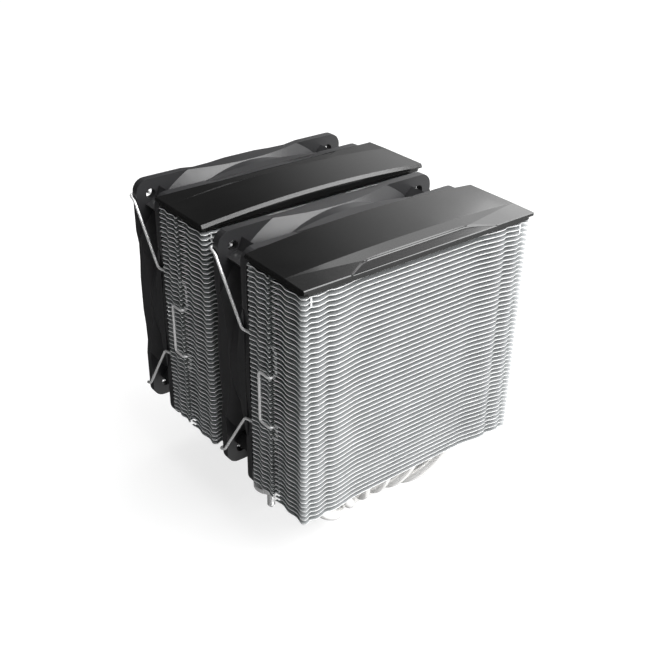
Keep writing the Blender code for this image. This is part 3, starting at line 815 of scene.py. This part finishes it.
@dataclass
class Fan:
    """A 120 mm fan: frame, impeller, motor and corner pads. Sizes are in millimetres."""

    name: str
    near: float
    shelf: Shelf
    half: float = 60.0
    depth: float = 25.0
    centre_z: float = 94.0
    flange: float = 4.0
    bore: float = 58.0
    barrel: float = 59.7
    flare: float = 68.0
    cone: float = 5.6
    hole_reach: float = 52.5
    corner: float = 6.0
    hub: float = 20.0
    tip: float = 56.3
    blades: int = 9

    @property
    def centre(self) -> Vector:
        """The centre of the near face."""
        return Vector((0.0, self.near, self.centre_z)) * MM

    def _turned(self, name: str, stations: Sequence[tuple[float, float]], sides: int = 96) -> Piece:
        """Turn a solid about the fan's axis, with distances counted from the near face."""
        return Piece.turned(name, self.centre, (0, 1, 0),
                            [mm(along, radius) for along, radius in stations], sides)

    def _flange(self, low: float, high: float) -> Piece:
        """One square flange with round corners, whose edges dip a little beside each corner."""
        half, corner = self.half, self.corner
        loop: list[tuple[float, float]] = []
        for turn in range(4):
            quarter = arc((half - corner, half - corner), corner, 0, 90, 6)
            quarter += [(34.0, half), (27.0, half - 0.9), (18.0, half - 0.7), (9.0, half - 0.1),
                        (-9.0, half - 0.1), (-18.0, half - 0.7), (-27.0, half - 0.9), (-34.0, half)]
            angle = math.radians(90 * turn)
            loop += [(x * math.cos(angle) - y * math.sin(angle),
                      x * math.sin(angle) + y * math.cos(angle)) for x, y in quarter]
        plate = Piece.plate("flange", [[mm(x, y) for x, y in loop]], low * MM, high * MM)
        plate.obj.data.transform(self._upright())
        return plate

    def _upright(self) -> Matrix:
        """Stand a piece drawn on XY, with its depth on Z, at the fan's place with its depth on Y."""
        return Matrix.Translation(self.centre) @ Matrix.Rotation(math.radians(-90), 4, "X")

    def build_frame(self) -> Piece:
        """Join two flanges and a barrel with conical feet, bore it, and add the motor mount."""
        depth, flange = self.depth, self.flange
        frame = self._flange(0.0, flange)
        foot = flange + self.cone
        barrel = self._turned("barrel", [(flange - 1.0, self.flare), (flange, self.flare),
                                         (foot, self.barrel), (depth - foot, self.barrel),
                                         (depth - flange, self.flare), (depth - flange + 1.0, self.flare)])
        barrel.combine(Piece.box("trim", (-self.half * MM, (self.near - 5) * MM,
                                          (self.centre_z - self.half) * MM),
                                 mm(self.half, self.near + 30, self.centre_z + self.half)),
                       operation="INTERSECT")
        frame.combine(self._flange(depth - flange, depth), barrel, *self._posts(), operation="UNION")
        bore = self._turned("bore", [(-2.0, self.bore + 1.2), (0.6, self.bore + 1.2),
                                     (2.4, self.bore), (depth - 2.4, self.bore),
                                     (depth - 0.6, self.bore + 1.2), (depth + 2.0, self.bore + 1.2)])
        frame.combine(bore)
        for x in (-1, 1):
            for z in (-1, 1):
                spot = self.centre + Vector((x * self.hole_reach, 0, z * self.hole_reach)) * MM
                frame.combine(Piece.turned("hole", spot, (0, 1, 0), [mm(-2, 2.5),
                                                                     mm(27, 2.5)], 20))
        frame.soften(0.35 * MM, 2, 40.0)
        frame.join(self._mount(), *self._struts())
        frame.smooth(14.0)
        frame.obj.name = f"{self.name}_frame"
        return frame.finish(self.shelf, Slot.FAN, "cooler", f"fan_frame_{self.name}")

    def _posts(self) -> list[Piece]:
        """The four corner posts between the flanges."""
        made = []
        for turn in range(4):
            half = [(41.0, 44.5), (44.0, 52.0), (48.0, 55.6)]
            loop = half + [(50.2, 50.2)] + [(y, x) for x, y in reversed(half)]
            angle = math.radians(90 * turn)
            turned = [((x * math.cos(angle) - y * math.sin(angle)) * MM,
                       (x * math.sin(angle) + y * math.cos(angle)) * MM) for x, y in loop]
            post = Piece.plate("post", [turned], 2.0 * MM, (self.depth - 2.0) * MM)
            post.obj.data.transform(self._upright())
            made.append(post)
        return made

    def _mount(self) -> Piece:
        """The motor mount: a dished disc with the bearing tube on it."""
        disc = self._turned("motor_mount", [(0.2, 19.4), (0.5, 20.0), (2.4, 20.0)], 64)
        face = self.near * MM
        disc.pick(lambda spot, normal: normal.y < -0.9 and spot.y < face + 0.3 * MM)
        disc.inset(1.2 * MM).inset(0.25 * MM, 0.0)
        disc.move(mm(0, 0.35, 0))
        tube = self._turned("bearing_tube", [(2.3, 5.2), (16.0, 5.2)], 32)
        disc.join(tube.combine(self._turned("tube_bore", [(2.35, 4.0), (18.0, 4.0)], 32)))
        return disc.settle()

    def _struts(self) -> list[Piece]:
        """Four curved-section arms from the motor mount to the barrel."""
        made = []
        for turn in range(4):
            arm = Piece.box("strut", mm(18.5, -2.0, 0.5), mm(58.6, 2.0, 3.6))
            arm.pick(lambda spot, normal: abs(normal.y) < 0.1 and abs(normal.x) > 0.9 and spot.x > 0.05)
            arm.resize((1.0, 1.5, 1.0), mm(58.6, 0, 0))
            arm.soften(0.7 * MM, 3, 40.0)
            arm.obj.data.transform(self._upright() @ Matrix.Rotation(math.radians(24 + 90 * turn), 4, "Z"))
            made.append(arm)
        return made

    def _blade_point(self, share: float, chord: float, side: float) -> Vector:
        """A point on a blade's skin.

        Args:
            share: 0 at the hub and 1 at the tip.
            chord: -0.5 at one edge and 0.5 at the other.
            side: -1 or 1 for the two skins.

        Returns:
            The point on XY with the fan's depth on Z, in metres.
        """
        radius = self.hub - 0.8 + (self.tip - self.hub + 0.8) * share
        pitch = math.radians(52 - 22 * share)
        along = chord * (15.0 + 15.0 * share)
        camber = 2.2 * (1 - (2 * chord) ** 2)
        thick = side * 0.8 * math.sqrt(max(0.03, 1 - (2 * chord) ** 2))
        sideways = along * math.cos(pitch) + camber * math.sin(pitch) - thick * math.sin(pitch) * 0.3
        height = 12.8 - along * math.sin(pitch) + camber * math.cos(pitch) + thick
        angle = (sideways + 5.0 * math.sin(math.pi * share)) / radius
        return Vector((radius * math.cos(angle), radius * math.sin(angle), height)) * MM

    def _blade(self) -> Piece:
        """One swept blade, bent from a thin block."""
        blade = Piece.box("blade", (0.0, -0.5, -1.0), (1.0, 0.5, 1.0))
        for i in range(1, 10):
            blade.slice((i / 10, 0, 0), (1, 0, 0))
        for i in range(1, 12):
            blade.slice((0, -0.5 * math.cos(math.pi * i / 12), 0), (0, 1, 0))
        blade.settle()
        blade.sculpt(lambda p: self._blade_point(p.x, p.y, p.z))
        return blade.weld()

    def build_impeller(self) -> Piece:
        """A cup-shaped hub with a rounded face and nine blades."""
        hub = self._turned("hub", [(4.2, 20.0), (21.4, 20.0), (22.5, 19.7), (23.3, 18.9), (23.6, 17.8)], 72)
        hub.combine(self._turned("cup", [(3.0, 18.8), (21.8, 18.8)], 48))
        top = (self.near + 23.6) * MM
        hub.pick(lambda spot, normal: normal.y > 0.99 and abs(spot.y - top) < 0.01 * MM)
        hub.inset(2.6 * MM).inset(0.3 * MM, -0.25 * MM).settle()
        hub.join(self._turned("shaft_boss", [(20.1, 5.0), (21.9, 5.0)], 32)
                 .combine(self._turned("boss_bore", [(19.0, 1.9), (21.7, 1.9)], 20)))
        upright = self._upright()
        first = self._blade()
        for i in range(self.blades):
            turn = upright @ Matrix.Rotation(math.radians(360 / self.blades * i), 4, "Z")
            hub.join(first.copy(f"blade_{i}", turn))
        bpy.data.objects.remove(first.obj, do_unlink=True)
        hub.smooth(35.0)
        hub.obj.name = f"{self.name}_impeller"
        return hub.finish(self.shelf, Slot.FAN, f"rotor_{self.name}", f"impeller_{self.name}")

    def build_pads(self) -> None:
        """Four rounded rubber pads between the fan and the fins."""
        for row in ("low", "high"):
            for side in Side:
                node = f"pad_{self.name}_{row}_{side.name.lower()}"
                low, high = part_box(node)
                pad = Piece.box(f"{node}_soft", low, high)
                pad.pick(lambda spot, normal: abs(normal.y) > 0.9, "edges")
                pad.chamfer(2.0 * MM, 5)
                pad.soften(0.35 * MM).smooth(40.0)
                pad.finish(self.shelf, Slot.RUBBER, "cooler", node)

    def dress_motor(self) -> None:
        """Give the motor's CAD pieces their finishes."""
        for part, slot in (("fan_shaft", Slot.STEEL), ("rotor_magnet", Slot.MAGNET),
                           ("fan_bearing", Slot.BRONZE), ("fan_stator", Slot.COPPER),
                           ("fan_circuit", Slot.CIRCUIT)):
            self.shelf.dress_node(f"{part}_{self.name}", slot)


@dataclass
class FanClip:
    """A wire clip that holds a fan on its tower. Sizes are in millimetres."""

    fan: Fan
    side: Side
    radius: float = 0.65
    tower_depth: float = 40.0
    groove_shift: float = 2.5
    upper_arm: float = 117.333
    lower_arm: float = 72.0
    upper_grip: float = 104.867
    lower_grip: float = 79.933

    def _half(self, arm: float, grip: float, up: int) -> list[tuple[float, float, float]]:
        """Half of the wire, from its hook to its pull handle."""
        fan, sign = self.fan, self.side.value
        far = fan.near + fan.depth
        hook, side = sign * 52.5, sign * 61.0
        groove_x, handle_x = sign * 59.4, sign * 63.0
        groove_y = fan.near - 2.0 - self.tower_depth / 2 + self.groove_shift
        corner = fan.centre_z + up * 52.5
        return [(hook, far - 2.6, corner), (hook, far + 1.0, corner), (side, far + 1.0, corner),
                (side, far - 3.0, corner - up * 1.5), (side, fan.near + 3.0, arm),
                (groove_x, fan.near - 4.5, arm), (groove_x, groove_y, arm), (groove_x, groove_y, grip),
                (handle_x, groove_y, grip), (handle_x, groove_y + 7.5, grip)]

    def build(self) -> Piece:
        """Bend the wire."""
        upper = self._half(self.upper_arm, self.upper_grip, 1)
        lower = self._half(self.lower_arm, self.lower_grip, -1)
        points = [Vector(p) * MM for p in upper + lower[::-1]]
        label = f"{self.fan.name}_{self.side.name.lower()}"
        wire = Piece.wire(f"clip_wire_{label}", points, self.radius * MM, 1.6 * MM)
        return wire.finish(self.fan.shelf, Slot.STEEL, f"clip_{label}", f"fan_clip_{label}")


@dataclass
class HeatPipes:
    """Six U-shaped heat pipes through the base. Sizes are in millimetres."""

    shelf: Shelf
    radius: float = 3.0
    base_pitch: float = 7.4
    tower_pitch: float = 16.0
    leg: float = 30.5
    bow: float = 5.5
    foot_y: float = 20.0
    foot_z: float = 9.0
    knee_z: float = 30.0
    top_z: float = 150.9

    def columns(self) -> list[tuple[float, float, float]]:
        """(x in the base, x in the towers, distance of the legs from the middle plane) per pipe."""
        made = []
        for i in range(6):
            place = i - 2.5
            reach = abs(place) / 2.5
            made.append((place * self.base_pitch, place * self.tower_pitch,
                         self.leg + self.bow * reach * reach))
        return made

    def legs(self) -> list[tuple[float, float]]:
        """(x, distance from the middle plane) of each pipe in a tower."""
        return [(x, y) for _, x, y in self.columns()]

    def build(self) -> None:
        """Bend the pipes."""
        for number, (base_x, leg_x, leg_y) in enumerate(self.columns(), 1):
            foot = Vector((base_x, self.foot_y, self.foot_z))
            knee = Vector((leg_x, leg_y, self.knee_z))
            lean = foot + Vector((0, (leg_y - foot.y) * 0.9, 0))
            drop = knee - Vector((0, 0, 9.0))
            half = [foot]
            for i in range(1, 20):
                t = i / 20
                s = 1 - t
                half.append(foot * s ** 3 + lean * (3 * s * s * t) + drop * (3 * s * t * t) + knee * t ** 3)
            half += [knee, Vector((leg_x, leg_y, self.top_z))]
            line = [Vector((p.x, -p.y, p.z)) for p in reversed(half)] + half
            pipe = Piece.wire(f"pipe_{number}", [p * MM for p in line], self.radius * MM, sides=6)
            pipe.finish(self.shelf, Slot.NICKEL, "cooler", f"heat_pipe_{number}")


@dataclass
class Base:
    """Cold plate, pipe clamp and mounting bar. Sizes are in millimetres."""

    shelf: Shelf
    pipes: HeatPipes
    screw_x: float = 41.0
    bolt_x: float = 12.0

    def _grooves(self) -> list[Piece]:
        """Round cutters for the pipes."""
        return [Piece.turned("groove", mm(x, 0, self.pipes.foot_z), (0, 1, 0),
                             [(-0.04, 3.15 * MM), (0.04, 3.15 * MM)], 40)
                for x, _, _ in self.pipes.columns()]

    def build_plate(self) -> Piece:
        """The cold plate, with a raised contact face and a bevelled foot."""
        low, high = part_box("cold_plate")
        plate = Piece.box("plate_block", low, high)
        plate.pick(lambda spot, normal: abs(normal.z) > 0.9 and abs(spot.x) > 0.02, "edges")
        plate.chamfer(2.5 * MM, 4)
        plate.pick(lambda spot, normal: normal.z < -0.9)
        plate.inset(1.6 * MM).inset(0.01 * MM)
        plate.settle().combine(*self._grooves())
        plate.soften(0.3 * MM).smooth(30.0)
        return plate.finish(self.shelf, Slot.NICKEL, "cooler", "cold_plate")

    def build_clamp(self) -> Piece:
        """The clamp block over the pipes, with shallow cooling ribs on its top."""
        low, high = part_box("pipe_clamp")
        clamp = Piece.box("clamp_block", low, high)
        clamp.combine(Piece.box("recess", (-22.0 * MM, -0.03, 0.0), (22.0 * MM, 0.03, 10.2 * MM)))
        clamp.combine(*self._grooves())
        for x in (-19.5, -16.5, -8.0, 8.0, 16.5, 19.5):
            clamp.combine(Piece.box("rib_gap", ((x - 0.6) * MM, -0.03, high[2] - 2.2 * MM),
                                    ((x + 0.6) * MM, 0.03, high[2] + 0.01)))
        for side in Side:
            spot = (side.value * self.bolt_x * MM, 0, high[2])
            clamp.combine(Piece.turned("bolt_hole", spot, (0, 0, 1), [mm(-5, 1.9),
                                                                      mm(5, 1.9)], 24))
        clamp.soften(0.3 * MM).smooth(30.0)
        return clamp.finish(self.shelf, Slot.ALUMINIUM, "cooler", "pipe_clamp")

    def build_bar(self) -> Piece:
        """The mounting bar: a long plate with round ends, pressed ribs and four holes."""
        low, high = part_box("mounting_bar")
        half, end = high[0], high[1]
        loop = arc((half - end, 0), end, -90, 90, 16) + arc((-half + end, 0), end, 90, 270, 16)
        holes = [ring((side.value * x, 0), r, 28) for side in Side
                 for x, r in ((self.screw_x * MM, 2.6 * MM), (self.bolt_x * MM, 1.9 * MM))]
        bar = Piece.plate("bar_plate", [loop, *holes], low[2], high[2])
        for y in (-1, 1):
            rib = Piece.box("rib", (-30 * MM, (y * 5.2 - 0.9) * MM, high[2] - 0.4 * MM),
                            (30 * MM, (y * 5.2 + 0.9) * MM, high[2] + 0.5 * MM))
            rib.soften(0.42 * MM, 3)
            bar.combine(rib, operation="UNION")
        bar.soften(0.3 * MM).smooth(30.0)
        return bar.finish(self.shelf, Slot.STEEL, "cooler", "mounting_bar")

    def build_bolts(self) -> None:
        """Two low bolts with a slot, which hold the bar on the clamp."""
        for side in Side:
            node = f"bar_bolt_{side.name.lower()}"
            low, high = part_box(node)
            x = side.value * self.bolt_x * MM
            seat = high[2] - 1.6 * MM
            bolt = Piece.turned(f"{node}_turned", (x, 0, 0), (0, 0, 1),
                                [(low[2], 1.5 * MM), (seat, 1.5 * MM), (seat, 3.0 * MM),
                                 (seat + 1.0 * MM, 3.0 * MM), (seat + 1.4 * MM, 2.7 * MM),
                                 (high[2], 2.0 * MM)], 40)
            bolt.combine(Piece.box("slot", (x - 2.2 * MM, -0.4 * MM, high[2] - 0.8 * MM),
                                   (x + 2.2 * MM, 0.4 * MM, high[2] + 2 * MM)))
            bolt.soften(0.1 * MM, 1).smooth(40.0)
            bolt.finish(self.shelf, Slot.STEEL, "cooler", node)


@dataclass
class MountingScrew:
    """A sprung screw at one end of the bar, with its retaining ring. Sizes are in millimetres."""

    side: Side
    shelf: Shelf
    reach: float = 41.0
    bar_top: float = 20.8
    head_low: float = 28.0
    head_top: float = 31.5
    tip: float = 5.0
    wire: float = 0.5
    coil: float = 3.5
    turns: float = 4.5

    @property
    def _x(self) -> float:
        """The screw's place along X in metres."""
        return self.side.value * self.reach * MM

    def build(self) -> None:
        """Make the screw, its spring and its ring."""
        self._screw()
        self._spring()
        self._ring()

    def _screw(self) -> None:
        """The screw: a round head with a cross recess, and a threaded shank."""
        name = self.side.name.lower()
        stations = [(self.tip, 1.4), (self.tip + 0.8, 2.0)]
        along = self.tip + 1.2
        while along < 15.6:
            stations += [(along, 2.0), (along + 0.35, 1.72), (along + 0.7, 2.0)]
            along += 0.75
        stations += [(16.6, 2.0), (16.7, 1.4), (18.3, 1.4), (18.3, 2.0), (self.head_low, 2.0),
                     (self.head_low, 5.3), (self.head_low + 0.3, 5.4), (self.head_top - 0.8, 5.4),
                     (self.head_top - 0.2, 5.0), (self.head_top, 4.5)]
        screw = Piece.turned(f"screw_{name}_turned", (self._x, 0, 0), (0, 0, 1),
                             [mm(z, r) for z, r in stations], 36)
        for size in ((3.4, 0.6), (0.6, 3.4)):
            screw.combine(Piece.box("cross", (self._x - size[0] * MM, -size[1] * MM,
                                              (self.head_top - 1.8) * MM),
                                    (self._x + size[0] * MM, size[1] * MM, (self.head_top + 3) * MM)))
        screw.smooth(35.0)
        screw.finish(self.shelf, Slot.STEEL, f"screw_{name}", f"mounting_screw_{name}")

    def _spring(self) -> None:
        """The coil spring under the screw's head, made at its rest length."""
        name = self.side.name.lower()
        low = self.bar_top + 0.3 + self.wire
        high = self.head_low - 0.3 - self.wire
        steps = int(self.turns * 24)
        line = []
        for i in range(steps + 1):
            angle = 2 * math.pi * i / 24
            line.append((self._x + self.coil * MM * math.cos(angle), self.coil * MM * math.sin(angle),
                         (low + (high - low) * i / steps) * MM))
        spring = Piece.wire(f"spring_{name}_coil", line, self.wire * MM, sides=2)
        spring.finish(self.shelf, Slot.STEEL, "cooler", f"screw_spring_{name}")
        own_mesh(spring.obj)

    def _ring(self) -> None:
        """The open retaining ring under the bar."""
        name = self.side.name.lower()
        low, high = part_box(f"screw_ring_{name}")
        loop = arc((self._x, 0), 4.2 * MM, 50, 310, 28) + arc((self._x, 0), 1.75 * MM, 310, 50, 24)
        retainer = Piece.plate(f"ring_{name}_stamped", [loop], low[2], high[2])
        retainer.soften(0.15 * MM, 1).smooth(35.0)
        retainer.finish(self.shelf, Slot.STEEL, f"screw_carrier_{name}", f"screw_ring_{name}")


# ------------------------------------------------------------------ studio

@dataclass(frozen=True)
class Softbox:
    """A rectangular soft light aimed at the cooler. Sizes are in metres and watts."""

    name: str
    azimuth: float
    elevation: float
    distance: float
    width: float
    height: float
    power: float

    def place(self, aim: Vector) -> None:
        """Add the light; azimuth 0 stands on the +Y side and 90 on the +X side."""
        turn, lift = math.radians(self.azimuth), math.radians(self.elevation)
        away = Vector((math.sin(turn) * math.cos(lift), math.cos(turn) * math.cos(lift), math.sin(lift)))
        clear_selection()
        bpy.ops.object.light_add(type="AREA", location=aim + away * self.distance)
        lamp = bpy.context.object
        lamp.name = self.name
        lamp.rotation_euler = away.to_track_quat("Z", "Y").to_euler()
        lamp.data.shape = "RECTANGLE"
        lamp.data.size = self.width
        lamp.data.size_y = self.height
        lamp.data.energy = self.power


@dataclass
class Studio:
    """Floor, walls, lights and camera; fade says where the dark wall turns into the pale one."""

    camera_spot: tuple[float, float, float] = (-0.2535, -0.3153, 0.3257)
    azimuth: float = -37.815
    elevation: float = 29.864
    roll: float = 0.675
    lens: float = 54.79
    bright_azimuth: float = 115.0
    pale: float = 0.95
    dark: float = 0.03
    fade: tuple[float, float] = (0.06, 0.44)
    boxes: tuple[Softbox, ...] = (
        Softbox("front_box", 150.0, 52.0, 1.6, 1.8, 0.85, 40.0),
        Softbox("low_strip", 165.0, 27.0, 1.6, 2.0, 0.40, 20.0),
        Softbox("back_box", 74.0, 38.0, 1.6, 1.3, 1.1, 8.0),
        Softbox("top_box", 100.0, 84.0, 1.6, 1.3, 1.3, 12.0),
    )

    def build(self) -> None:
        """Set up everything that isn't the cooler."""
        self._floor()
        self._sky()
        for box in self.boxes:
            box.place(Vector((0, 0, 0.09)))
        self._camera()

    def _floor(self) -> None:
        """A plain pale floor, which glows a little so that shadows stay faint."""
        clear_selection()
        bpy.ops.mesh.primitive_plane_add(size=14.0, location=(0, 0, -0.0002))
        floor = bpy.context.object
        floor.name = "floor"
        bpy.ops.object.transform_apply(location=True, rotation=True, scale=True)
        paint = Paint("floor_finish")
        mottle = paint.noise(3.0, 2.0)
        paint.set(Base_Color=paint.mix(paint.ramp(mottle), grey(0.30), grey(0.31)),
                  Roughness=0.9, Specular_IOR_Level=0.1, Emission_Color=grey(1.0), Emission_Strength=0.74)
        floor.data.materials.append(paint.material)
        floor.visible_glossy = False

    def _sky(self) -> None:
        """A studio with a pale wall on the right and a dark one on the left."""
        world = bpy.data.worlds.new("studio")
        world.use_nodes = True
        tree = world.node_tree
        place = tree.nodes.new("ShaderNodeTexCoord")
        toward = tree.nodes.new("ShaderNodeVectorMath")
        toward.operation = "DOT_PRODUCT"
        turn = math.radians(self.bright_azimuth)
        toward.inputs[1].default_value = (math.sin(turn), math.cos(turn), 0.0)
        shade = tree.nodes.new("ShaderNodeMapRange")
        shade.interpolation_type = "SMOOTHSTEP"
        ends = {"From Min": self.fade[0], "From Max": self.fade[1], "To Min": self.dark, "To Max": self.pale}
        for name, value in ends.items():
            shade.inputs[name].default_value = value
        tree.links.new(place.outputs["Generated"], toward.inputs[0])
        tree.links.new(toward.outputs["Value"], shade.inputs["Value"])
        tree.links.new(shade.outputs["Result"], tree.nodes["Background"].inputs["Color"])
        bpy.context.scene.world = world
        bpy.context.scene.view_settings.view_transform = "Standard"

    def _camera(self) -> None:
        """The camera, turned by its azimuth, elevation and roll."""
        turn, lift, roll = (math.radians(v) for v in (self.azimuth, self.elevation, self.roll))
        back = Vector((math.sin(turn) * math.cos(lift), -math.cos(turn) * math.cos(lift), math.sin(lift)))
        level = Vector((math.cos(turn), math.sin(turn), 0.0))
        rise = back.cross(level)
        right = level * math.cos(roll) + rise * math.sin(roll)
        up = rise * math.cos(roll) - level * math.sin(roll)
        clear_selection()
        bpy.ops.object.camera_add(location=self.camera_spot)
        camera = bpy.context.object
        camera.rotation_euler = Matrix((right, up, back)).transposed().to_euler()
        camera.data.lens = self.lens
        camera.data.sensor_width = 36.0
        camera.data.clip_start = 0.01
        bpy.context.scene.camera = camera


# ------------------------------------------------------------------ assembly


def main() -> None:
    """Build the cooler piece by piece."""
    FRAME.update(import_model())
    shelf = Shelf()
    Studio().build()
    pipes = HeatPipes(shelf)
    for tower in Tower:
        FinStack(tower, shelf).build(pipes.legs())
        cover = TopCover(tower, shelf)
        cover.build()
        cover.dress_tray()
    pipes.build()
    base = Base(shelf, pipes)
    base.build_plate()
    base.build_clamp()
    base.build_bar()
    base.build_bolts()
    for side in Side:
        MountingScrew(side, shelf).build()
    for name, near in (("middle", -13.5), ("rear", 57.5)):
        fan = Fan(name, near, shelf)
        fan.build_frame()
        fan.build_impeller()
        fan.build_pads()
        fan.dress_motor()
        for side in Side:
            FanClip(fan, side).build()


if __name__ == "__main__":
    logging.basicConfig(level=logging.INFO, format="%(name)s: %(message)s")
    main()
